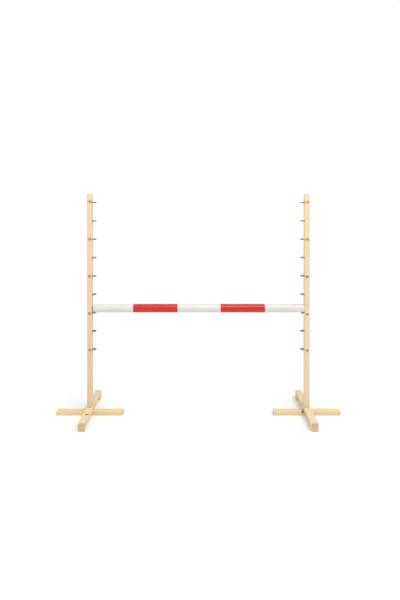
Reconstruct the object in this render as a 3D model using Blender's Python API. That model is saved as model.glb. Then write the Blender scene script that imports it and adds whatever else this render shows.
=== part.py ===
"""Agility hurdle: two pine stands with pairs of steel pins, and a striped pole that lies on the pins.

Metres, +Z up. The origin is on the floor, midway between the stands and midway along the long legs.
+X runs along the pole to the right stand, and +Y runs from front to back through the jump.
"""

import math

import bmesh
import bpy
from mathutils import Matrix, Vector

# Driving dimensions
GAP = 0.0003                  # clearance between touching pieces

LEG_THICK = 0.021             # planed batten of the legs and foot blocks, lying flat
LEG_WIDE = 0.036
POST_FRONT = 0.026            # planed batten of the posts, seen from the front
POST_DEEP = 0.036
ARRIS = 0.0012                # rounding of the battens' long edges

OVERALL_HEIGHT = 1.202
POST_CENTRE_X = 0.590
POST_CENTRE_Y = -0.009        # the posts, cross legs and pole stand in front of the long legs' middle
CROSS_LEG_LENGTH = 0.360      # on the floor, along the pole
LONG_LEG_LENGTH = 0.398       # on top of it, through the jump
FOOT_BLOCK_LENGTH = 0.036     # packing under both ends of the long leg

PIN_LEVELS = 9
PIN_PITCH = 0.100
PIN_RADIUS = 0.0030
PIN_SPREAD = 0.020            # between the two pins of a level
PIN_REACH = 0.020             # standing out of the post
PIN_DEPTH = 0.014             # held in the post
PIN_CHAMFER = 0.0006

TOP_JUMP_HEIGHT = 1.200       # top of the pole on the highest pins
POLE_LEVEL = 6                # counted down from the highest level
POLE_RADIUS = 0.0225
POLE_WALL = 0.0018
POLE_LENGTH = 1.145           # over the end caps
POLE_CENTRE_X = 0.004         # the loose pole lies pushed up to the right post
BAND_INNER_X = 0.1163         # the red bands, from the middle of the pole
BAND_OUTER_X = 0.3568
BAND_THICK = 0.0003
CAP_FLANGE = 0.0030
CAP_PLUG_LENGTH = 0.018
CAP_PLUG_WALL = 0.0020

SCREW_HEAD_RADIUS = 0.0044
SCREW_SHANK_RADIUS = 0.0020
SCREW_POINT = 0.006
SCREW_SUNK = 0.0008           # head below the wood's face
POST_SCREW_LENGTH = 0.090
POST_SCREW_SPREAD = 0.020     # two screws side by side, front and back
BLOCK_SCREW_LENGTH = 0.035

ROUND_SIDES = 10              # small round pieces: pins, screws and their holes
POLE_SIDES = 32

# Worked out from the driving dimensions
LONG_LEG_Z = LEG_THICK + GAP
POST_FOOT_Z = LONG_LEG_Z + LEG_THICK + GAP
CRADLE_DROP = math.sqrt((POLE_RADIUS + PIN_RADIUS + GAP) ** 2 - (PIN_SPREAD / 2) ** 2)
TOP_PIN_Z = TOP_JUMP_HEIGHT - POLE_RADIUS - CRADLE_DROP
POLE_Z = TOP_JUMP_HEIGHT - POLE_LEVEL * PIN_PITCH - POLE_RADIUS
BLOCK_Y = (LONG_LEG_LENGTH - FOOT_BLOCK_LENGTH) / 2

SIDES = {"left": -1, "right": 1}
ENDS = {"front": -1, "back": 1}


def clear_scene():
    for item in list(bpy.data.objects):
        bpy.data.objects.remove(item, do_unlink=True)


def make_material(name, colour, roughness, metallic=0.0):
    material = bpy.data.materials.new(name)
    material.use_nodes = True
    shader = material.node_tree.nodes["Principled BSDF"]
    shader.inputs["Base Color"].default_value = (*colour, 1.0)
    shader.inputs["Roughness"].default_value = roughness
    shader.inputs["Metallic"].default_value = metallic
    return material


def new_mesh(name, bm):
    bmesh.ops.recalc_face_normals(bm, faces=bm.faces)
    mesh = bpy.data.meshes.new(name)
    bm.to_mesh(mesh)
    bm.free()
    return mesh


def place(name, mesh, finish, location, turn=None):
    """Put one piece in the scene, with its own copy of its finish."""
    piece = bpy.data.objects.new(name, mesh)
    bpy.context.scene.collection.objects.link(piece)
    piece.location = location
    if turn:
        piece.rotation_euler = turn
    if not mesh.materials:
        mesh.materials.append(make_material(name + "_finish", *finish))
    return piece


def batten_mesh(name, size, grain_axis):
    """A length of planed batten: sawn square at its ends, its four long edges rounded."""
    bm = bmesh.new()
    bmesh.ops.create_cube(bm, size=1.0)
    bmesh.ops.scale(bm, vec=size, verts=bm.verts)
    long_edges = [
        edge for edge in bm.edges
        if abs((edge.verts[0].co - edge.verts[1].co)[grain_axis]) > GAP
    ]
    bmesh.ops.bevel(bm, geom=long_edges, offset=ARRIS, segments=2, profile=0.5, affect="EDGES")
    return new_mesh(name, bm)


def turned_into(bm, profile, sides, matrix=None):
    """Turn a profile of (radius, height) points about Z; it starts and ends on the axis,
    or else closes on itself into a ring."""
    made = [bm.verts.new((radius, 0, height)) for radius, height in profile]
    edges = [bm.edges.new(pair) for pair in zip(made, made[1:])]
    if profile[0][0] > 0:
        edges.append(bm.edges.new((made[-1], made[0])))
    before = set(bm.verts) - set(made)
    bmesh.ops.spin(
        bm, geom=made + edges, cent=(0, 0, 0), axis=(0, 0, 1),
        angle=math.tau, steps=sides, use_merge=True,
    )
    fresh = [vert for vert in bm.verts if vert not in before]
    bmesh.ops.remove_doubles(bm, verts=fresh, dist=1e-6)
    if matrix:
        fresh = [vert for vert in bm.verts if vert not in before]
        bmesh.ops.transform(bm, matrix=matrix, verts=fresh)


def turned_mesh(name, profile, sides):
    bm = bmesh.new()
    turned_into(bm, profile, sides)
    mesh = new_mesh(name, bm)
    mesh.shade_smooth()
    mesh.set_sharp_from_angle(angle=math.radians(35))
    return mesh


def cut(piece, cutter_name, shapes):
    """Cut a piece with turned shapes, each a profile and the matrix that places it in the world."""
    bm = bmesh.new()
    for profile, matrix in shapes:
        turned_into(bm, profile, ROUND_SIDES, matrix)
    cutter = bpy.data.objects.new(cutter_name, new_mesh(cutter_name, bm))
    bpy.context.scene.collection.objects.link(cutter)
    cutter.hide_render = True
    cutter.display_type = "WIRE"
    modifier = piece.modifiers.new(cutter_name, "BOOLEAN")
    modifier.operation = "DIFFERENCE"
    modifier.object = cutter


def bore_profile(radius, depth):
    """A straight hole: from above the face at height 0 down to its depth."""
    mouth = 0.002
    return [(0, -depth), (radius, -depth), (radius, mouth), (0, mouth)]


def screw_profile(length, grow=0.0):
    """A countersunk wood screw, head at height 0 and point up. Grown, it is the screw's hole."""
    head = SCREW_HEAD_RADIUS + grow
    shank = SCREW_SHANK_RADIUS + grow
    cone_end = SCREW_HEAD_RADIUS - SCREW_SHANK_RADIUS + grow
    top = length + grow
    foot = -(SCREW_SUNK + 0.001) if grow else 0.0
    points = [(0, foot), (head, foot)]
    if grow:
        points.append((head, 0))
    return points + [(shank, cone_end), (shank, top - SCREW_POINT), (0, top)]


def upright(x, y, z):
    return Matrix.Translation(Vector((x, y, z)))


def along_x(x, y, z, way):
    """The matrix that lays a turned shape's +Z along +X or -X."""
    return Matrix.Translation(Vector((x, y, z))) @ Matrix.Rotation(way * math.pi / 2, 4, "Y")


def pin_height(level):
    return TOP_PIN_Z - level * PIN_PITCH


def pin_line(end):
    """How far back the front or the back pins stand."""
    return POST_CENTRE_Y + end * PIN_SPREAD / 2


def post_screw_places(way):
    return [
        (way * POST_CENTRE_X, POST_CENTRE_Y + end * POST_SCREW_SPREAD / 2) for end in ENDS.values()
    ]


def block_screw_place(way, end):
    return way * POST_CENTRE_X, end * BLOCK_Y


def screw_hole(x, y, length):
    return screw_profile(length, GAP), upright(x, y, SCREW_SUNK)


def make_post(side, way):
    length = OVERALL_HEIGHT - POST_FOOT_Z
    mesh = batten_mesh(side + "_post", (POST_FRONT, POST_DEEP, length), 2)
    centre = (way * POST_CENTRE_X, POST_CENTRE_Y, POST_FOOT_Z + length / 2)
    post = place(side + "_post", mesh, PINE, centre)
    inner_face = way * (POST_CENTRE_X - POST_FRONT / 2)
    profile = bore_profile(PIN_RADIUS + GAP, PIN_DEPTH + GAP)
    bores = [
        (profile, along_x(inner_face, pin_line(end), pin_height(level), -way))
        for level in range(PIN_LEVELS) for end in ENDS.values()
    ]
    cut(post, side + "_pin_bores", bores)
    holes = [screw_hole(x, y, POST_SCREW_LENGTH) for x, y in post_screw_places(way)]
    cut(post, side + "_post_screw_holes", holes)


def make_legs(side, way):
    cross_mesh = batten_mesh(side + "_cross_leg", (CROSS_LEG_LENGTH, LEG_WIDE, LEG_THICK), 0)
    cross_centre = (way * POST_CENTRE_X, POST_CENTRE_Y, LEG_THICK / 2)
    cross = place(side + "_cross_leg", cross_mesh, PINE, cross_centre)
    long_mesh = batten_mesh(side + "_long_leg", (LEG_WIDE, LONG_LEG_LENGTH, LEG_THICK), 1)
    long_z = LONG_LEG_Z + LEG_THICK / 2
    long_leg = place(side + "_long_leg", long_mesh, PINE, (way * POST_CENTRE_X, 0, long_z))
    holes = [screw_hole(x, y, POST_SCREW_LENGTH) for x, y in post_screw_places(way)]
    cut(cross, side + "_cross_leg_holes", holes)
    holes += [screw_hole(*block_screw_place(way, end), BLOCK_SCREW_LENGTH) for end in ENDS.values()]
    cut(long_leg, side + "_long_leg_holes", holes)


def make_foot_blocks(side, way):
    for end_name, end in ENDS.items():
        name = f"{side}_{end_name}_foot_block"
        mesh = batten_mesh(name, (LEG_WIDE, FOOT_BLOCK_LENGTH, LEG_THICK), 1)
        x, y = block_screw_place(way, end)
        block = place(name, mesh, PINE, (x, y, LEG_THICK / 2))
        cut(block, name + "_hole", [screw_hole(x, y, BLOCK_SCREW_LENGTH)])


def make_screws(side, way):
    post_screw = turned_mesh("post_screw", screw_profile(POST_SCREW_LENGTH), ROUND_SIDES)
    for end_name, (x, y) in zip(ENDS, post_screw_places(way)):
        place(f"{side}_{end_name}_post_screw", post_screw, SCREW_STEEL, (x, y, SCREW_SUNK))
    block_screw = turned_mesh("block_screw", screw_profile(BLOCK_SCREW_LENGTH), ROUND_SIDES)
    for end_name, end in ENDS.items():
        x, y = block_screw_place(way, end)
        place(f"{side}_{end_name}_block_screw", block_screw, SCREW_STEEL, (x, y, SCREW_SUNK))


def make_pins(side, way):
    length = PIN_DEPTH + PIN_REACH
    profile = [
        (0, 0), (PIN_RADIUS, 0), (PIN_RADIUS, length - PIN_CHAMFER),
        (PIN_RADIUS - PIN_CHAMFER, length), (0, length),
    ]
    mesh = turned_mesh(side + "_pin", profile, ROUND_SIDES)
    buried_end = way * (POST_CENTRE_X - POST_FRONT / 2 + PIN_DEPTH)
    for level in range(PIN_LEVELS):
        for end_name, end in ENDS.items():
            spot = (buried_end, pin_line(end), pin_height(level))
            turn = (0, -way * math.pi / 2, 0)
            place(f"{side}_{end_name}_pin_{level + 1}", mesh, PIN_STEEL, spot, turn)


def pole_ring(name, half_length, inner, outer, finish, x=POLE_CENTRE_X):
    """A tube or sleeve round the pole's axis, centred at x."""
    profile = [(inner, -half_length), (outer, -half_length), (outer, half_length), (inner, half_length)]
    mesh = turned_mesh(name, profile, POLE_SIDES)
    place(name, mesh, finish, (x, POST_CENTRE_Y, POLE_Z), (0, math.pi / 2, 0))


def make_pole():
    half_tube = POLE_LENGTH / 2 - CAP_FLANGE - GAP
    pole_ring("pole_tube", half_tube, POLE_RADIUS - POLE_WALL, POLE_RADIUS, WHITE_PLASTIC)
    band_inner = POLE_RADIUS + GAP
    band_middle = (BAND_INNER_X + BAND_OUTER_X) / 2
    half_band = (BAND_OUTER_X - BAND_INNER_X) / 2
    for side, way in SIDES.items():
        pole_ring(
            side + "_red_band", half_band, band_inner, band_inner + BAND_THICK, RED_FILM,
            POLE_CENTRE_X + way * band_middle,
        )


def make_end_caps():
    """Plug caps: a flange over the tube's end and a hollow plug inside it."""
    plug = POLE_RADIUS - POLE_WALL - GAP
    bore = plug - CAP_PLUG_WALL
    inward = CAP_FLANGE + CAP_PLUG_LENGTH
    profile = [
        (0, 0), (POLE_RADIUS - CAP_FLANGE / 2, 0), (POLE_RADIUS, CAP_FLANGE / 2),
        (POLE_RADIUS, CAP_FLANGE), (plug, CAP_FLANGE), (plug, inward), (bore, inward),
        (bore, CAP_FLANGE), (0, CAP_FLANGE),
    ]
    mesh = turned_mesh("end_cap", profile, POLE_SIDES)
    for side, way in SIDES.items():
        outer_end = (POLE_CENTRE_X + way * POLE_LENGTH / 2, POST_CENTRE_Y, POLE_Z)
        place(side + "_end_cap", mesh, WHITE_PLASTIC, outer_end, (0, -way * math.pi / 2, 0))


# Finishes: linear colour, roughness, metallic
PINE = ((0.80, 0.62, 0.38), 0.62)
PIN_STEEL = ((0.42, 0.41, 0.38), 0.35, 1.0)
SCREW_STEEL = ((0.60, 0.55, 0.40), 0.32, 1.0)
WHITE_PLASTIC = ((0.84, 0.82, 0.78), 0.30)
RED_FILM = ((0.68, 0.05, 0.032), 0.28)

clear_scene()
for side_name, side_way in SIDES.items():
    make_post(side_name, side_way)
    make_legs(side_name, side_way)
    make_foot_blocks(side_name, side_way)
    make_screws(side_name, side_way)
    make_pins(side_name, side_way)
make_pole()
make_end_caps()
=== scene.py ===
"""Agility hurdle: pine stands with steel pins, and a red and white pole lying on them.

Metres, +Z up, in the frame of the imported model. Every piece is built round the box of the node it stands for.
"""

import math

import bmesh
import bpy
from mathutils import Euler, Matrix, Vector


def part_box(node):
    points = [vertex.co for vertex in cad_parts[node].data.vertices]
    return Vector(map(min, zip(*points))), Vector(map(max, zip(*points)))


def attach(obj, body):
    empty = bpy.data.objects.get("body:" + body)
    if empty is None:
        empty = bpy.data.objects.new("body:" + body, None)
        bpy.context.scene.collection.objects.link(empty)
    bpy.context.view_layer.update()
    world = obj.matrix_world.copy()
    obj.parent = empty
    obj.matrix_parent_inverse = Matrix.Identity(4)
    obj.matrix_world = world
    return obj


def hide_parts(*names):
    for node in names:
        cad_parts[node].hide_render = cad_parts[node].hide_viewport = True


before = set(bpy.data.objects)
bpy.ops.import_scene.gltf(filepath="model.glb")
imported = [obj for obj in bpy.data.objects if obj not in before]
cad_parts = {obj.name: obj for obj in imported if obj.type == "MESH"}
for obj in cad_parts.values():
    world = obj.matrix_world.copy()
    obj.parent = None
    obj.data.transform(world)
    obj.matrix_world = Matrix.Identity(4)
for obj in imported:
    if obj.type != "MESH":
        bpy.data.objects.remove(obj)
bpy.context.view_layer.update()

MM = 0.001
SIDES = {"left": -1, "right": 1}
ENDS = ("front", "back")
X, Y, Z = 0, 1, 2

# Workshop sizes
ARRIS = 1.2 * MM              # the planer's rounding along a batten
SAWN_EDGE = 0.35 * MM         # the fuzz rubbed off a sawn end
BORE_EASE = 0.08 * MM         # a bore's wall, off the pin or screw in it
BORE_MOUTH = 0.35 * MM        # chamfer left by the drill
BORE_SIDES = 32
RUN_OUT = 2 * MM              # how far a drill's shape stands out of the face it cuts
PIN_LEVELS = 9
PIN_IN_POST = 14 * MM         # length of pin held in the wood
PIN_SIDES = 24
PIN_TIP = 0.55 * MM
SHANK_RADIUS = 2.0 * MM       # screws, under the thread
HEAD_CONE = 2.4 * MM
HEAD_RIM = 0.35 * MM
SCREW_POINT = 6.0 * MM
SCREW_SIDES = 32
POINT_BLUNT = 0.12            # the point's end, as a share of the shank
THREAD_TURNS = {"post": 22, "block": 8}
THREAD_PITCH = 2.6 * MM
THREAD_PROUD = 0.62 * MM
RECESS_DEPTH = 1.9 * MM
RECESS_ARM = 2.3 * MM
RECESS_WIDE = 1.0 * MM
RECESS_TAPER = 0.45           # the recess's floor, as a share of its mouth
POLE_SIDES = 96
TUBE_WALL = 1.8 * MM
FILM_THICK = 0.15 * MM
FILM_EASE = 0.03 * MM         # the film's back, off the tube
FILM_START = 20               # degrees round from the back of the pole, towards the floor
FILM_LAP = 9                  # sides of the pole over which the film's end laps its start
CAP_EDGE = 1.4 * MM
CAP_FLANGE = 3.0 * MM
CAP_BORDER = 5.0 * MM         # flat ring round the cap's dished middle
CAP_DISH_SLOPE = 0.6 * MM
CAP_DISH = 0.4 * MM
CAP_WALL = 2.0 * MM
CAP_EASE = 0.3 * MM           # the plug, off the tube's bore
HEIGHT_MARKS = {1: "120", 3: "100", 5: "80", 7: "60", 9: "40"}   # pin level: pole height in cm
MARK_HEIGHT = 13.0 * MM
MARK_WIDTHS = {2: 14.0 * MM, 3: 19.0 * MM}                       # by the number of digits
MARK_BOLD = 0.022             # widening of each stroke, as a share of the lettering's size
MARK_LIFTS = {                # stamped by hand: each number's height over its pins, highest number first
    "left": (5.0 * MM, 1.8 * MM, 0.8 * MM, 0.0, 2.0 * MM),
    "right": (2.5 * MM, 1.0 * MM, -1.2 * MM, -4.3 * MM, -1.0 * MM),
}
MARK_SLIPS = {"left": 1.5 * MM, "right": -0.5 * MM}              # and how far it slipped to one side
MARK_PROUD = 0.06 * MM
MARK_THICK = 0.2 * MM
NEAR = MM / 100               # closer than this, a corner lies on the plane


# Colour and nodes

def linear(hex_colour):
    """An sRGB hex colour as linear red, green, blue and alpha."""
    channels = [int(hex_colour[i:i + 2], 16) / 255 for i in (1, 3, 5)]
    return (*[c / 12.92 if c <= 0.04045 else ((c + 0.055) / 1.055) ** 2.4 for c in channels], 1.0)


def add(tree, kind, inputs=None, **settings):
    """Add a node: settings are its own, and an input takes a value or the output that feeds it."""
    made = tree.nodes.new("ShaderNode" + kind)
    for name, value in settings.items():
        setattr(made, name, value)
    for name, value in (inputs or {}).items():
        socket = made.inputs[name]
        if isinstance(value, bpy.types.NodeSocket):
            tree.links.new(value, socket)
        else:
            socket.default_value = value
    return made


def set_ramp(ramp, stops):
    """Give a colour ramp its stops: (position, hex colour), from low to high."""
    band = ramp.color_ramp
    while len(band.elements) < len(stops):
        band.elements.new(1.0)
    for element, (position, colour) in zip(band.elements, stops):
        element.position = position
        element.color = linear(colour)


def new_material(name):
    """A material with an empty tree: its shader is added last and joined to the output."""
    material = bpy.data.materials.new(name)
    material.use_nodes = True
    material.node_tree.nodes.clear()
    return material, material.node_tree


def close_material(tree, inputs):
    """Add the shader, with its inputs, and join it to the output."""
    shader = add(tree, "BsdfPrincipled", inputs)
    add(tree, "OutputMaterial", {"Surface": shader.outputs["BSDF"]})
    return shader


# Materials

RING_WIDTH = 2.6 * MM         # a year's growth of pine
FIBRE_WIDTH = 0.7 * MM
KNIFE_PITCH = 1.6 * MM        # one cut of the planer's knives; drawn at about its real pitch
GRAIN_TURNS = {X: (0, -math.pi / 2, 0), Y: (math.pi / 2, 0, 0), Z: (0, 0, 0)}


def along_grain(tree, middle, grain, pith):
    """Coordinates with Z along the batten's grain and the tree's pith at X = Y = 0."""
    turn = Euler(GRAIN_TURNS[grain])
    offset = Vector(pith) - turn.to_matrix() @ middle
    place = add(tree, "TexCoord").outputs["Object"]
    turned = add(tree, "Mapping", {"Vector": place, "Location": offset, "Rotation": turn})
    return turned.outputs["Vector"]


def planed_pine(name, middle, grain, pith, tone, knots_and_shade=()):
    """Untreated pine from the planer: pale early wood and thin tan late wood.

    Its fibre is fine, and the planer's knives leave faint marks across it.
    The rings are cylinders round the pith, so faces and sawn ends match as in a solid piece.
    Each knot, or spot of painted shade drawn like a knot, is its place from the batten's middle, its half
    sizes, and the tones of its middle and rim.
    """
    material, tree = new_material(name)
    grain_space = along_grain(tree, middle, grain, pith)

    slow = add(tree, "VectorMath", {0: grain_space, 1: (9.0, 9.0, 2.2)}, operation="MULTIPLY")
    sway = add(
        tree, "TexNoise", {"Vector": slow.outputs[0], "Scale": 1.0, "Detail": 3.0, "Roughness": 0.45},
    )
    centred = add(tree, "VectorMath", {0: sway.outputs["Color"], 1: (0.5, 0.5, 0.5)}, operation="SUBTRACT")
    swung = add(tree, "VectorMath", {0: centred.outputs[0], "Scale": 14.0 * MM}, operation="SCALE")
    bent = add(tree, "VectorMath", {0: grain_space, 1: swung.outputs[0]}, operation="ADD")
    rings_at = bent.outputs[0]

    # knots bend the rings round them; the spots of painted shade drawn as knots do the same
    knot_and_shade_masks = []
    turn = Euler(GRAIN_TURNS[grain]).to_matrix()
    for place, halves, _ in knots_and_shade:
        centre = turn @ Vector(place) + Vector(pith)
        squeeze = [abs(part) for part in turn @ Vector([1 / half for half in halves])]
        across = min(halves)
        away = add(tree, "VectorMath", {0: bent.outputs[0], 1: centre}, operation="SUBTRACT")
        shaped = add(tree, "VectorMath", {0: away.outputs[0], 1: squeeze}, operation="MULTIPLY")
        length = add(tree, "VectorMath", {0: shaped.outputs[0]}, operation="LENGTH")
        ragged = add(tree, "TexNoise", {"Vector": grain_space, "Scale": 420.0, "Detail": 3.0})
        reach = add(
            tree, "Math", {0: ragged.outputs["Fac"], 1: 0.5, 2: length.outputs["Value"]},
            operation="MULTIPLY_ADD",
        ).outputs[0]
        pull = add(
            tree, "MapRange",
            {"Value": reach, "From Min": 0.6, "From Max": 3.2, "To Min": 2.4 * across, "To Max": 0.0},
            interpolation_type="SMOOTHERSTEP",
        )
        push = add(tree, "CombineXYZ", {"X": pull.outputs[0], "Y": pull.outputs[0]})
        rings_at = add(tree, "VectorMath", {0: rings_at, 1: push.outputs[0]}, operation="ADD").outputs[0]
        knot_and_shade_masks.append(reach)

    rings = add(
        tree, "TexWave",
        {"Vector": rings_at, "Scale": math.tau / 20 / RING_WIDTH, "Distortion": 0.6, "Detail": 2.0,
         "Detail Scale": 0.4},
        wave_type="RINGS", rings_direction="Z", wave_profile="SAW",
    )
    ring_tone = add(tree, "ValToRGB", {"Fac": rings.outputs["Fac"]})
    set_ramp(ring_tone, [(0.0, tone[0]), (0.45, tone[0]), (0.80, tone[1]), (0.93, tone[2]), (1.0, tone[0])])

    # heartwood and sapwood: slow drifts of colour along the batten
    drift = add(tree, "TexNoise", {"Vector": slow.outputs[0], "Scale": 0.6, "Detail": 1.0})
    warm = add(tree, "ValToRGB", {"Fac": drift.outputs["Fac"]})
    set_ramp(warm, [(0.3, "#fffaf4"), (0.55, "#fffcfa"), (0.75, "#fff4ea")])
    toned = add(
        tree, "Mix", {"Factor": 1.0, 6: ring_tone.outputs["Color"], 7: warm.outputs["Color"]},
        data_type="RGBA", blend_type="MULTIPLY",
    )

    stretched = add(
        tree, "VectorMath", {0: grain_space, 1: (1 / FIBRE_WIDTH, 1 / FIBRE_WIDTH, 0.02 / FIBRE_WIDTH)},
        operation="MULTIPLY",
    )
    fibre = add(
        tree, "TexNoise", {"Vector": stretched.outputs[0], "Scale": 1.0, "Detail": 3.0, "Roughness": 0.6},
    )
    fibre_tone = add(tree, "ValToRGB", {"Fac": fibre.outputs["Fac"]})
    set_ramp(fibre_tone, [(0.25, "#e9dcc8"), (0.5, "#fbf7f0"), (0.8, "#ffffff")])
    colour = add(
        tree, "Mix", {"Factor": 0.55, 6: toned.outputs[2], 7: fibre_tone.outputs["Color"]},
        data_type="RGBA", blend_type="MULTIPLY",
    ).outputs[2]

    # each knot's colours, and the colours of the spots of painted shade drawn like knots
    for reach, (_, _, (middle_tone, rim_tone)) in zip(knot_and_shade_masks, knots_and_shade):
        spot_tone = add(tree, "ValToRGB", {"Fac": reach})
        set_ramp(spot_tone, [(0.0, middle_tone), (0.5, middle_tone), (1.0, rim_tone)])
        inside = add(
            tree, "MapRange",
            {"Value": reach, "From Min": 1.05, "From Max": 1.55, "To Min": 1.0, "To Max": 0.0},
            interpolation_type="SMOOTHSTEP",
        )
        colour = add(
            tree, "Mix", {"Factor": inside.outputs[0], 6: colour, 7: spot_tone.outputs["Color"]},
            data_type="RGBA",
        ).outputs[2]

    # sawn ends show the open pores, and are darker and rougher
    facing = add(tree, "TexCoord").outputs["Normal"]
    grain_way = [float(axis == grain) for axis in (X, Y, Z)]
    end_on = add(tree, "VectorMath", {0: facing, 1: grain_way}, operation="DOT_PRODUCT")
    end_face = add(tree, "Math", {0: end_on.outputs["Value"]}, operation="ABSOLUTE")
    sawn = add(
        tree, "MapRange", {"Value": end_face.outputs[0], "From Min": 0.55, "From Max": 0.9},
        interpolation_type="SMOOTHSTEP",
    )
    pores = add(
        tree, "Mix", {"Factor": 1.0, 6: colour, 7: linear("#e8e0d2")},
        data_type="RGBA", blend_type="MULTIPLY",
    )
    surface = add(
        tree, "Mix", {"Factor": sawn.outputs[0], 6: colour, 7: pores.outputs[2]}, data_type="RGBA",
    )
    rough = add(
        tree, "MapRange",
        {"Value": fibre.outputs["Fac"], "From Min": 0.3, "From Max": 0.7,
         "To Min": 0.50, "To Max": 0.68},
    )
    rougher = add(
        tree, "Math", {0: sawn.outputs[0], 1: 0.22, 2: rough.outputs[0]},
        operation="MULTIPLY_ADD", use_clamp=True,
    )

    knives = add(
        tree, "TexWave", {"Vector": grain_space, "Scale": math.tau / 20 / KNIFE_PITCH, "Distortion": 0.4},
        wave_type="BANDS", bands_direction="Z",
    )
    relief = add(
        tree, "Math", {0: knives.outputs["Fac"], 1: 0.12, 2: fibre.outputs["Fac"]}, operation="MULTIPLY_ADD",
    )
    year_relief = add(
        tree, "Math", {0: rings.outputs["Fac"], 1: 0.30, 2: relief.outputs[0]}, operation="MULTIPLY_ADD",
    )
    bump = add(tree, "Bump", {"Height": year_relief.outputs[0], "Strength": 0.35, "Distance": 0.12 * MM})
    close_material(tree, {
        "Base Color": surface.outputs[2], "Roughness": rougher.outputs[0], "Normal": bump.outputs["Normal"],
        "IOR": 1.52, "Specular IOR Level": 0.35,
    })
    return material


def drawn_steel(name):
    """Mild steel wire, drawn and cut off: fine lines along the pin, and a grey oxide film."""
    material, tree = new_material(name)
    place = add(tree, "TexCoord").outputs["Object"]
    lines_at = add(tree, "VectorMath", {0: place, 1: (60.0, 3500.0, 3500.0)}, operation="MULTIPLY")
    lines = add(tree, "TexNoise", {"Vector": lines_at.outputs[0], "Scale": 1.0, "Detail": 3.0})
    blotch = add(tree, "TexNoise", {"Vector": place, "Scale": 260.0, "Detail": 4.0, "Roughness": 0.6})
    film = add(tree, "ValToRGB", {"Fac": blotch.outputs["Fac"]})
    set_ramp(film, [(0.3, "#7d7569"), (0.55, "#958c7e"), (0.8, "#a79f91")])
    rough = add(
        tree, "MapRange",
        {"Value": lines.outputs["Fac"], "From Min": 0.3, "From Max": 0.7,
         "To Min": 0.26, "To Max": 0.46},
    )
    bump = add(tree, "Bump", {"Height": lines.outputs["Fac"], "Strength": 0.3, "Distance": 0.02 * MM})
    close_material(tree, {
        "Base Color": film.outputs["Color"], "Roughness": rough.outputs[0], "Metallic": 1.0,
        "Normal": bump.outputs["Normal"],
    })
    return material


def yellow_zinc(name):
    """Wood screw steel with a yellow passivated zinc coat, clouded with faint iridescence."""
    material, tree = new_material(name)
    place = add(tree, "TexCoord").outputs["Object"]
    cloud = add(tree, "TexNoise", {"Vector": place, "Scale": 420.0, "Detail": 4.0})
    coat = add(tree, "ValToRGB", {"Fac": cloud.outputs["Fac"]})
    set_ramp(coat, [(0.25, "#b39a5c"), (0.5, "#cdb677"), (0.7, "#c9b996"), (0.85, "#b8ac9e")])
    rough = add(
        tree, "MapRange",
        {"Value": cloud.outputs["Fac"], "From Min": 0.3, "From Max": 0.7,
         "To Min": 0.24, "To Max": 0.38},
    )
    close_material(tree, {
        "Base Color": coat.outputs["Color"], "Roughness": rough.outputs[0], "Metallic": 1.0,
    })
    return material


def extruded_pvc(name):
    """White rigid PVC tube: satin, with the faint lines that the extruder's die leaves along it."""
    material, tree = new_material(name)
    place = add(tree, "TexCoord").outputs["Object"]
    die_at = add(tree, "VectorMath", {0: place, 1: (2.0, 900.0, 900.0)}, operation="MULTIPLY")
    die_lines = add(tree, "TexNoise", {"Vector": die_at.outputs[0], "Scale": 1.0, "Detail": 2.0})
    handling = add(tree, "TexNoise", {"Vector": place, "Scale": 22.0, "Detail": 3.0, "Roughness": 0.5})
    tint = add(tree, "ValToRGB", {"Fac": handling.outputs["Fac"]})
    set_ramp(tint, [(0.2, "#d5d1ca"), (0.55, "#d8d4cd"), (0.9, "#dad7d0")])
    rough = add(
        tree, "MapRange",
        {"Value": handling.outputs["Fac"], "From Min": 0.25, "From Max": 0.75,
         "To Min": 0.30, "To Max": 0.36},
    )
    bump = add(tree, "Bump", {"Height": die_lines.outputs["Fac"], "Strength": 0.25, "Distance": 0.015 * MM})
    close_material(tree, {
        "Base Color": tint.outputs["Color"], "Roughness": rough.outputs[0], "Normal": bump.outputs["Normal"],
        "IOR": 1.53,
    })
    return material


def vinyl_film(name):
    """Red self-adhesive vinyl: glossy, with the light orange peel of a film laid on by hand."""
    material, tree = new_material(name)
    place = add(tree, "TexCoord").outputs["Object"]
    peel = add(tree, "TexNoise", {"Vector": place, "Scale": 420.0, "Detail": 2.0})
    handling = add(tree, "TexNoise", {"Vector": place, "Scale": 30.0, "Detail": 4.0})
    tint = add(tree, "ValToRGB", {"Fac": handling.outputs["Fac"]})
    set_ramp(tint, [(0.2, "#c01b0b"), (0.55, "#c41d0d"), (0.9, "#c7210f")])
    rough = add(
        tree, "MapRange",
        {"Value": handling.outputs["Fac"], "From Min": 0.25, "From Max": 0.75,
         "To Min": 0.27, "To Max": 0.33},
    )
    bump = add(tree, "Bump", {"Height": peel.outputs["Fac"], "Strength": 0.15, "Distance": 0.05 * MM})
    close_material(tree, {
        "Base Color": tint.outputs["Color"], "Roughness": rough.outputs[0], "Normal": bump.outputs["Normal"],
        "IOR": 1.50,
    })
    return material


def moulded_polythene(name):
    """White injection-moulded polythene: softer and more matt than the tube, with a spark-eroded texture."""
    material, tree = new_material(name)
    place = add(tree, "TexCoord").outputs["Object"]
    grit = add(tree, "TexNoise", {"Vector": place, "Scale": 1600.0, "Detail": 2.0})
    cloud = add(tree, "TexNoise", {"Vector": place, "Scale": 90.0, "Detail": 3.0})
    tint = add(tree, "ValToRGB", {"Fac": cloud.outputs["Fac"]})
    set_ramp(tint, [(0.3, "#cfccc5"), (0.7, "#d6d3cd")])
    bump = add(tree, "Bump", {"Height": grit.outputs["Fac"], "Strength": 0.3, "Distance": 0.04 * MM})
    close_material(tree, {
        "Base Color": tint.outputs["Color"], "Roughness": 0.48, "Normal": bump.outputs["Normal"], "IOR": 1.51,
        "Subsurface Weight": 0.08, "Subsurface Radius": (2 * MM, 2 * MM, 2 * MM),
    })
    return material


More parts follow.
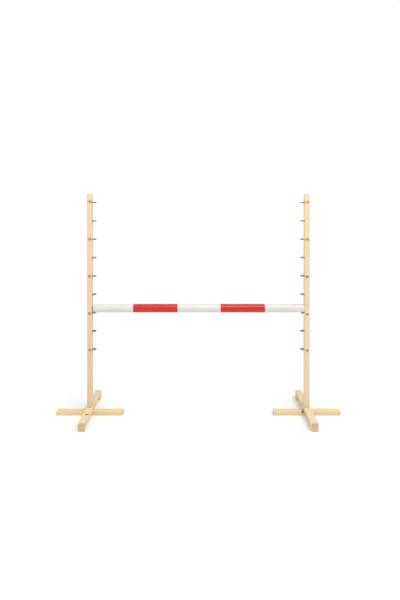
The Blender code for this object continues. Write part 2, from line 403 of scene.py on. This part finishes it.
def burnt_stamp(name):
    """Numerals burnt in with a hot stamp: dark brown, paler where the iron touched less."""
    material, tree = new_material(name)
    place = add(tree, "TexCoord").outputs["Object"]
    char_at = add(tree, "VectorMath", {0: place, 1: (2200.0, 2200.0, 500.0)}, operation="MULTIPLY")
    char = add(tree, "TexNoise", {"Vector": char_at.outputs[0], "Scale": 1.0, "Detail": 4.0})
    tint = add(tree, "ValToRGB", {"Fac": char.outputs["Fac"]})
    set_ramp(tint, [(0.3, "#21130a"), (0.55, "#2f1c0e"), (0.8, "#50361d")])
    bump = add(tree, "Bump", {"Height": char.outputs["Fac"], "Strength": 0.4, "Distance": 0.05 * MM})
    close_material(tree, {
        "Base Color": tint.outputs["Color"], "Roughness": 0.75, "Normal": bump.outputs["Normal"],
    })
    return material


def studio_floor(name):
    """Matt white painted floor."""
    material, tree = new_material(name)
    place = add(tree, "TexCoord").outputs["Object"]
    roller = add(tree, "TexNoise", {"Vector": place, "Scale": 3.0, "Detail": 2.0})
    tint = add(tree, "ValToRGB", {"Fac": roller.outputs["Fac"]})
    set_ramp(tint, [(0.3, "#efefef"), (0.7, "#f1f1f1")])
    close_material(tree, {"Base Color": tint.outputs["Color"], "Roughness": 0.85, "Specular IOR Level": 0.1})
    return material


# Shaping

def settle(name):
    """Name the new primitive and put its place into its mesh."""
    piece = bpy.context.object
    piece.name = name
    piece.data.name = name
    bpy.ops.object.transform_apply(location=True, rotation=True, scale=True)
    return piece


def edit(piece):
    bpy.ops.object.select_all(action="DESELECT")
    bpy.context.view_layer.objects.active = piece
    piece.select_set(True)
    bpy.ops.object.mode_set(mode="EDIT")


def leave_edit():
    bpy.ops.object.mode_set(mode="OBJECT")


def pick(piece, kind, test):
    """In edit mode, select only the edges or faces that pass the test."""
    bpy.ops.mesh.select_mode(type=kind)
    bpy.ops.mesh.select_all(action="DESELECT")
    bm = bmesh.from_edit_mesh(piece.data)
    for part in bm.faces if kind == "FACE" else bm.edges:
        part.select_set(bool(test(part)))
    bm.select_flush_mode()
    bmesh.update_edit_mesh(piece.data)


def apply_modifier(piece, kind, **settings):
    modifier = piece.modifiers.new(kind.title(), kind)
    for name, value in settings.items():
        setattr(modifier, name, value)
    bpy.context.view_layer.objects.active = piece
    bpy.ops.object.modifier_apply(modifier=modifier.name)


def cut_with(piece, cutters):
    """Cut a piece with closed shapes that don't touch each other, and throw them away."""
    bpy.ops.object.select_all(action="DESELECT")
    for cutter in cutters:
        cutter.select_set(True)
    bpy.context.view_layer.objects.active = cutters[0]
    bpy.ops.object.join()
    joined = bpy.context.object
    apply_modifier(piece, "BOOLEAN", operation="DIFFERENCE", object=joined, solver="EXACT")
    bpy.data.objects.remove(joined, do_unlink=True)


def copied(piece, name, shift):
    """A copy with its own mesh, moved in its mesh."""
    twin = piece.copy()
    twin.data = piece.data.copy()
    twin.name = name
    twin.data.name = name
    twin.data.transform(Matrix.Translation(shift))
    bpy.context.scene.collection.objects.link(twin)
    return twin


def finish_piece(piece, material, body, node=None, smooth=40):
    """Smooth it, give it its material, and fix it to its body."""
    bpy.ops.object.select_all(action="DESELECT")
    bpy.context.view_layer.objects.active = piece
    piece.select_set(True)
    bpy.ops.object.shade_smooth_by_angle(angle=math.radians(smooth))
    piece.data.materials.clear()
    piece.data.materials.append(material)
    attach(piece, body)
    if node:
        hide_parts(node)
    return piece


# Wooden pieces

def batten(name, low, high, grain):
    """Planed batten: long edges rounded, ends sawn square and rubbed down."""
    bpy.ops.mesh.primitive_cube_add(size=1, location=(low + high) / 2, scale=high - low)
    piece = settle(name)

    def runs_along(edge):
        return abs((edge.verts[0].co - edge.verts[1].co)[grain]) > MM

    def on_an_end(edge):
        spots = [vert.co[grain] for vert in edge.verts]
        ends = (low[grain], high[grain])
        return any(max(abs(spot - end) for spot in spots) < NEAR for end in ends)

    edit(piece)
    pick(piece, "EDGE", runs_along)
    bpy.ops.mesh.bevel(offset=ARRIS, segments=4, affect="EDGES")
    pick(piece, "EDGE", on_an_end)
    bpy.ops.mesh.bevel(offset=SAWN_EDGE, segments=2, affect="EDGES")
    leave_edit()
    return piece


def pin_bit(low, high, way):
    """The drill for one pin, as a closed shape: its bore, a chamfered mouth and a run out of the face."""
    radius = (high.z - low.z) / 2 + BORE_EASE
    buried = high.x if way > 0 else low.x
    depth = PIN_IN_POST + BORE_EASE
    face = buried - way * PIN_IN_POST
    bpy.ops.mesh.primitive_cylinder_add(
        vertices=BORE_SIDES, radius=radius, depth=depth - BORE_MOUTH,
        location=(face + way * (depth + BORE_MOUTH) / 2, (low.y + high.y) / 2, (low.z + high.z) / 2),
        rotation=(0, math.pi / 2, 0),
    )
    bit = settle("pin_bit")
    edit(bit)
    pick(bit, "FACE", lambda part: part.normal.x * way < -0.9)
    bpy.ops.mesh.extrude_region_move(TRANSFORM_OT_translate={"value": (-way * BORE_MOUTH, 0, 0)})
    wider = (radius + BORE_MOUTH) / radius
    bpy.ops.transform.resize(
        value=(1, wider, wider), center_override=(face, (low.y + high.y) / 2, (low.z + high.z) / 2),
    )
    bpy.ops.mesh.extrude_region_move(TRANSFORM_OT_translate={"value": (-way * RUN_OUT, 0, 0)})
    leave_edit()
    return bit


def screw_shape(name, low, high, ease=0.0):
    """A countersunk screw's plain outline, head down; with ease it is the hole for the screw."""
    head = (high.x - low.x) / 2 + ease
    shank = SHANK_RADIUS + ease
    x, y = (low.x + high.x) / 2, (low.y + high.y) / 2
    rim = low.z + HEAD_RIM
    bpy.ops.mesh.primitive_cone_add(
        vertices=SCREW_SIDES, radius1=head, radius2=shank, depth=HEAD_CONE,
        location=(x, y, rim + HEAD_CONE / 2),
    )
    shape = settle(name)
    edit(shape)
    pick(shape, "FACE", lambda part: part.normal.z < -0.9)
    below = HEAD_RIM + (RUN_OUT if ease else 0.0)
    bpy.ops.mesh.extrude_region_move(TRANSFORM_OT_translate={"value": (0, 0, -below)})
    pick(shape, "FACE", lambda part: part.normal.z > 0.9)
    run = high.z + ease - SCREW_POINT - rim - HEAD_CONE
    bpy.ops.mesh.extrude_region_move(TRANSFORM_OT_translate={"value": (0, 0, run)})
    bpy.ops.mesh.extrude_region_move(TRANSFORM_OT_translate={"value": (0, 0, SCREW_POINT)})
    bpy.ops.transform.resize(value=(POINT_BLUNT, POINT_BLUNT, 1), center_override=(x, y, high.z))
    leave_edit()
    return shape


POST_TONES = ("#e5d6b7", "#dfcda9", "#cbb38c")
RIGHT_POST_TONES = ("#ebe1b9", "#e4d8ad", "#d1bc8d")
LEG_TONES = ("#e7d7ab", "#dfcb9b", "#ceb380")
PALE_TONES = ("#e2d6b8", "#dacba8", "#c8b087")
BLOCK_TONES = ("#ecdfc0", "#e5d5b2", "#d5bf98")
# the half size below serves real knots and also spots of painted shade that run right through
NO_END = 1.0                  # half size of a knot where its branch runs right through, in metres
# dark and brown tones for knots, also used for spots of painted shade drawn like knots
DARK_KNOT_AND_SHADE = ("#6b4727", "#3f2814")
BROWN_KNOT_AND_SHADE = ("#a27c54", "#7d5833")
# knots, and two spots of painted shade drawn like knots
KNOTS_AND_SHADE_SPOTS = {
    "left_long_leg": [((0.006, -0.105, 0.0105), (10.5 * MM, 5.0 * MM, 6.0 * MM), DARK_KNOT_AND_SHADE)],
    "right_post": [((0.004, 0, 0.150), (NO_END, 2.6 * MM, 4.5 * MM), DARK_KNOT_AND_SHADE)],
    "right_cross_leg": [
        ((0.105, 0.006, 0), (5.0 * MM, 3.2 * MM, NO_END), BROWN_KNOT_AND_SHADE),
        # painted shade: this brown spot, drawn as a knot in the corner beside the long leg, stands for the
        # shade under that leg
        ((-0.0225, -0.015, 0.011), (8.0 * MM, 9.0 * MM, 9.5 * MM), BROWN_KNOT_AND_SHADE),
    ],
    # painted shade: this dark spot, drawn as a knot, stands for the shade on the back block under the long leg
    "right_back_foot_block": [((0, 0, 0.004), (NO_END, 4.0 * MM, 3.0 * MM), DARK_KNOT_AND_SHADE)],
}


def node_middle(node):
    low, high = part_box(node)
    return (low + high) / 2


def build_timber():
    """The battens of both stands, drilled, each with rings of its own."""
    piths = {"left": (0.034, -0.046, 0.31), "right": (-0.052, 0.030, -0.77)}
    for side, way in SIDES.items():
        pith = Vector(piths[side])
        tall = POST_TONES if side == "left" else RIGHT_POST_TONES
        plans = {
            f"{side}_post": (Z, pith, tall),
            f"{side}_cross_leg": (X, Vector((pith.y, pith.x * 0.7, 1.3 * way)), LEG_TONES),
            f"{side}_long_leg": (Y, Vector((pith.x * 1.2, -pith.y * 0.5, 2.9 * way)), PALE_TONES),
            f"{side}_front_foot_block": (Y, Vector((pith.y, 0.028, 4.1 * way)), BLOCK_TONES),
            f"{side}_back_foot_block": (Y, Vector((0.030, pith.x, 5.3 * way)), LEG_TONES),
        }
        holes = {node: [] for node in plans}
        for end in ENDS:
            block = f"{side}_{end}_foot_block"
            for screw, held in (
                (f"{side}_{end}_post_screw", (f"{side}_cross_leg", f"{side}_long_leg", f"{side}_post")),
                (f"{side}_{end}_block_screw", (block, f"{side}_long_leg")),
            ):
                for node in held:
                    holes[node].append(screw_shape("hole", *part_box(screw), BORE_EASE))
        for level in range(1, PIN_LEVELS + 1):
            for end in ENDS:
                holes[f"{side}_post"].append(pin_bit(*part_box(f"{side}_{end}_pin_{level}"), way))
        for node, (grain, pith_place, tones) in plans.items():
            piece = batten(node + "_timber", *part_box(node), grain)
            cut_with(piece, holes[node])
            material = planed_pine(
                "planed_pine_" + node, node_middle(node), grain, pith_place, tones, KNOTS_AND_SHADE_SPOTS.get(node, ()),
            )
            finish_piece(piece, material, side + "_stand", node)


# Steel pieces

def build_pins(steel):
    """Pins cut from wire, their tips rounded off; two to a level on each post."""
    for side, way in SIDES.items():
        model = None
        for level in range(1, PIN_LEVELS + 1):
            for end in ENDS:
                node = f"{side}_{end}_pin_{level}"
                middle = node_middle(node)
                if model:
                    pin = copied(model, node + "_steel", middle - model_middle)
                else:
                    low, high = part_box(node)
                    bpy.ops.mesh.primitive_cylinder_add(
                        vertices=PIN_SIDES, radius=(high.z - low.z) / 2, depth=high.x - low.x,
                        location=middle, rotation=(0, math.pi / 2, 0),
                    )
                    pin = settle(node + "_steel")
                    tip = low.x if way > 0 else high.x
                    edit(pin)
                    pick(pin, "EDGE", lambda part: all(abs(v.co.x - tip) < NEAR for v in part.verts))
                    bpy.ops.mesh.bevel(offset=PIN_TIP, segments=3, affect="EDGES")
                    leave_edit()
                    model, model_middle = pin, middle
                finish_piece(pin, steel, side + "_stand", node)


def thread_coil(low, high, turns):
    """The raised thread: a three-sided wire wound up the shank, closed at both ends."""
    x, y = (low.x + high.x) / 2, (low.y + high.y) / 2
    start = high.z - SCREW_POINT - turns * THREAD_PITCH
    bpy.ops.mesh.primitive_circle_add(
        vertices=3, radius=THREAD_PROUD * 0.8, location=(SHANK_RADIUS + THREAD_PROUD * 0.2, 0, 0),
        rotation=(math.pi / 2, math.pi / 2, 0),
    )
    coil = settle("thread")
    apply_modifier(coil, "SCREW", angle=math.tau, screw_offset=THREAD_PITCH, iterations=turns, steps=16,
                   render_steps=16, axis="Z")
    edit(coil)
    bpy.ops.mesh.select_all(action="SELECT")
    bpy.ops.mesh.fill_holes(sides=3)
    bpy.ops.mesh.select_all(action="SELECT")
    bpy.ops.mesh.normals_make_consistent(inside=False)
    leave_edit()
    coil.data.transform(Matrix.Translation((x, y, start)))
    return coil


def cross_recess(low, high):
    """The driver's mark in a screw head, as a closed shape: four arms that narrow as they go in."""
    x, y = (low.x + high.x) / 2, (low.y + high.y) / 2
    bpy.ops.mesh.primitive_cube_add(
        size=1, location=(x, y, low.z + RECESS_DEPTH / 2 - MM / 2),
        scale=(RECESS_WIDE, RECESS_WIDE, RECESS_DEPTH + MM),
    )
    bit = settle("driver")
    edit(bit)
    for way in (Vector((1, 0, 0)), Vector((-1, 0, 0)), Vector((0, 1, 0)), Vector((0, -1, 0))):
        pick(bit, "FACE", lambda part: part.normal.dot(way) > 0.9 and part.calc_area() > MM * MM)
        bpy.ops.mesh.extrude_region_move(
            TRANSFORM_OT_translate={"value": way * (RECESS_ARM - RECESS_WIDE / 2)},
        )
    pick(bit, "FACE", lambda part: part.normal.z > 0.9)
    bpy.ops.transform.resize(
        value=(RECESS_TAPER, RECESS_TAPER, 1), center_override=(x, y, low.z + RECESS_DEPTH),
    )
    leave_edit()
    return bit


def build_screws(zinc):
    """Countersunk wood screws driven up from below, with a cross recess and a wound thread."""
    for kind, turns in THREAD_TURNS.items():
        model = None
        for side in SIDES:
            for end in ENDS:
                node = f"{side}_{end}_{kind}_screw"
                low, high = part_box(node)
                if model:
                    screw = copied(model, node + "_zinc", node_middle(node) - model_middle)
                else:
                    screw = screw_shape(node + "_zinc", low, high)
                    cut_with(screw, [cross_recess(low, high)])
                    coil = thread_coil(low, high, turns)
                    bpy.ops.object.select_all(action="DESELECT")
                    coil.select_set(True)
                    screw.select_set(True)
                    bpy.context.view_layer.objects.active = screw
                    bpy.ops.object.join()
                    model, model_middle = screw, node_middle(node)
                finish_piece(screw, zinc, side + "_stand", node, smooth=30)


# The pole

def build_tube(material):
    low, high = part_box("pole_tube")
    radius = (high.z - low.z) / 2
    bpy.ops.mesh.primitive_cylinder_add(
        vertices=POLE_SIDES, radius=radius, depth=high.x - low.x, location=(low + high) / 2,
        rotation=(0, math.pi / 2, 0), end_fill_type="NOTHING",
    )
    tube = settle("pole_tube_pvc")
    apply_modifier(tube, "SOLIDIFY", thickness=TUBE_WALL, offset=-1, use_rim=True)
    finish_piece(tube, material, "pole", "pole_tube")


def build_bands(material):
    """Film wound once round the tube; its end laps over its start at the lower back."""
    tube_low, tube_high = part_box("pole_tube")
    radius = (tube_high.z - tube_low.z) / 2 + FILM_EASE
    for side in SIDES:
        node = side + "_red_band"
        low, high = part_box(node)
        centre = (low + high) / 2
        bpy.ops.mesh.primitive_cylinder_add(
            vertices=POLE_SIDES, radius=radius, depth=high.x - low.x, location=centre,
            rotation=(0, math.pi / 2, 0), end_fill_type="NOTHING",
        )
        band = settle(node + "_film")
        for vert in band.data.vertices:
            away = vert.co - centre
            around = math.degrees(math.atan2(-away.z, away.y)) % 360
            if FILM_START < around < FILM_START + FILM_LAP * 360 / POLE_SIDES:
                vert.co += Vector((0, away.y, away.z)).normalized() * FILM_THICK
        apply_modifier(band, "SOLIDIFY", thickness=FILM_THICK, offset=1, use_rim=True)
        finish_piece(band, material, "pole", node)


def build_caps(material):
    """Moulded plugs: a flange with a rounded edge and a dished face, and a hollow plug in the tube."""
    tube_low, tube_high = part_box("pole_tube")
    plug = (tube_high.z - tube_low.z) / 2 - TUBE_WALL - CAP_EASE
    for side, way in SIDES.items():
        node = side + "_end_cap"
        low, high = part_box(node)
        radius = (high.z - low.z) / 2
        centre = (low + high) / 2
        outer = high.x if way > 0 else low.x
        inner = low.x if way > 0 else high.x
        bpy.ops.mesh.primitive_cylinder_add(
            vertices=POLE_SIDES, radius=radius, depth=CAP_FLANGE,
            location=(outer - way * CAP_FLANGE / 2, centre.y, centre.z), rotation=(0, math.pi / 2, 0),
        )
        cap = settle(node + "_moulding")
        edit(cap)
        pick(cap, "EDGE", lambda edge: all(abs(v.co.x - outer) < NEAR for v in edge.verts))
        bpy.ops.mesh.bevel(offset=CAP_EDGE, segments=4, affect="EDGES")
        pick(cap, "FACE", lambda face: face.normal.x * way > 0.99)
        bpy.ops.mesh.inset(thickness=CAP_BORDER)
        bpy.ops.mesh.inset(thickness=CAP_DISH_SLOPE, depth=-CAP_DISH)
        pick(cap, "FACE", lambda face: face.normal.x * way < -0.99)
        bpy.ops.mesh.inset(thickness=radius - plug)
        plug_length = abs(outer - inner) - CAP_FLANGE
        bpy.ops.mesh.extrude_region_move(TRANSFORM_OT_translate={"value": (-way * plug_length, 0, 0)})
        bpy.ops.mesh.inset(thickness=CAP_WALL)
        bpy.ops.mesh.extrude_region_move(
            TRANSFORM_OT_translate={"value": (way * (plug_length - MM), 0, 0)},
        )
        leave_edit()
        finish_piece(cap, material, "pole", node, smooth=30)


# The height marks

def build_marks(material):
    """A number on each post's front face beside every second pair of pins."""
    for side in SIDES:
        post_low, post_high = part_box(side + "_post")
        face = post_low.y - MARK_PROUD
        for (level, digits), lift in zip(HEIGHT_MARKS.items(), MARK_LIFTS[side]):
            pin = node_middle(f"{side}_front_pin_{level}")
            bpy.ops.object.text_add(location=(0, 0, 0))
            text = bpy.context.object
            text.data.body = digits
            text.data.align_x = "CENTER"
            text.data.align_y = "CENTER"
            text.data.extrude = 0.01
            text.data.resolution_u = 6
            text.data.offset = MARK_BOLD
            bpy.ops.object.convert(target="MESH")
            mark = settle(f"{side}_mark_{digits}")
            lows = Vector([min(v.co[axis] for v in mark.data.vertices) for axis in (X, Y, Z)])
            highs = Vector([max(v.co[axis] for v in mark.data.vertices) for axis in (X, Y, Z)])
            size = highs - lows
            middle = (post_low.x + post_high.x) / 2 + MARK_SLIPS[side]
            spot = Vector((middle, face + MARK_THICK / 2, pin.z + lift))
            fitted = Matrix.Diagonal(
                (MARK_WIDTHS[len(digits)] / size.x, MARK_HEIGHT / size.y, MARK_THICK / size.z, 1),
            )
            upright = Matrix.Rotation(math.pi / 2, 4, "X")
            centred = Matrix.Translation(-(lows + highs) / 2)
            mark.data.transform(Matrix.Translation(spot) @ upright @ fitted @ centred)
            edit(mark)
            bpy.ops.mesh.select_all(action="SELECT")
            bpy.ops.mesh.remove_doubles(threshold=MM / 10000)
            bpy.ops.mesh.normals_make_consistent(inside=False)
            leave_edit()
            finish_piece(mark, material, side + "_stand", smooth=30)


# Studio

def aim(holder, spot, target):
    holder.location = spot
    holder.rotation_euler = (Vector(target) - Vector(spot)).to_track_quat("-Z", "Y").to_euler()


def add_lamp(name, kind, tint, energy, spot, target):
    lamp = bpy.data.lights.new(name, kind)
    lamp.energy = energy
    lamp.color = linear(tint)[:3]
    holder = bpy.data.objects.new(name, lamp)
    bpy.context.scene.collection.objects.link(holder)
    aim(holder, spot, target)
    return lamp


def build_studio():
    """A white floor under a white dome, soft light from three sides, and a lamp by the posts' tops."""
    bpy.ops.mesh.primitive_plane_add(size=120, location=(0, 0, -0.0002))
    floor = settle("studio_floor")
    floor.data.materials.append(studio_floor("white_floor_paint"))

    world = bpy.data.worlds.new("studio")
    bpy.context.scene.world = world
    world.use_nodes = True
    tree = world.node_tree
    tree.nodes.clear()
    path = add(tree, "LightPath")
    dome = add(tree, "Background", {"Color": linear("#fbfcff"), "Strength": 0.64})
    white = add(tree, "Background", {"Color": (1, 1, 1, 1), "Strength": 1.05})
    mixed = add(
        tree, "MixShader", {0: path.outputs["Is Camera Ray"], 1: dome.outputs[0], 2: white.outputs[0]},
    )
    add(tree, "OutputWorld", {"Surface": mixed.outputs[0]})

    for name, energy, tint, degrees_wide, spot in (
        ("soft_right", 1.40, "#fffbf5", 40, (1.4, -1.6, 4.4)),
        ("back_right", 0.42, "#fffdf9", 15, (2.8, 1.0, 2.8)),
        ("soft_left", 0.55, "#e6eeff", 60, (-3.6, -2.4, 2.3)),
    ):
        sun = add_lamp(name, "SUN", tint, energy, spot, (0, 0, 0))
        sun.angle = math.radians(degrees_wide)
    key = add_lamp("key", "AREA", "#fffbf5", 5.0, (0.1, -0.95, 2.0), (0, 0, 1.3))
    key.shape = "DISK"
    key.size = 1.0


def build_camera():
    """Level with the tops of the posts, two and a half metres in front, looking all but level."""
    lens = bpy.data.cameras.new("camera")
    lens.lens = 27.91
    lens.shift_x = 0.0022
    lens.shift_y = -0.1758
    camera = bpy.data.objects.new("camera", lens)
    bpy.context.scene.collection.objects.link(camera)
    camera.location = (0.002, -2.543, 1.206)
    camera.rotation_euler = (math.radians(89.8), 0, 0)
    bpy.context.scene.camera = camera
    bpy.context.scene.view_settings.view_transform = "Standard"


bpy.ops.object.select_all(action="DESELECT")
build_timber()
build_pins(drawn_steel("drawn_steel_wire"))
build_screws(yellow_zinc("yellow_zinc_plate"))
build_tube(extruded_pvc("extruded_pvc"))
build_bands(vinyl_film("red_vinyl_film"))
build_caps(moulded_polythene("moulded_polythene"))
build_marks(burnt_stamp("burnt_stamp"))
build_studio()
build_camera()
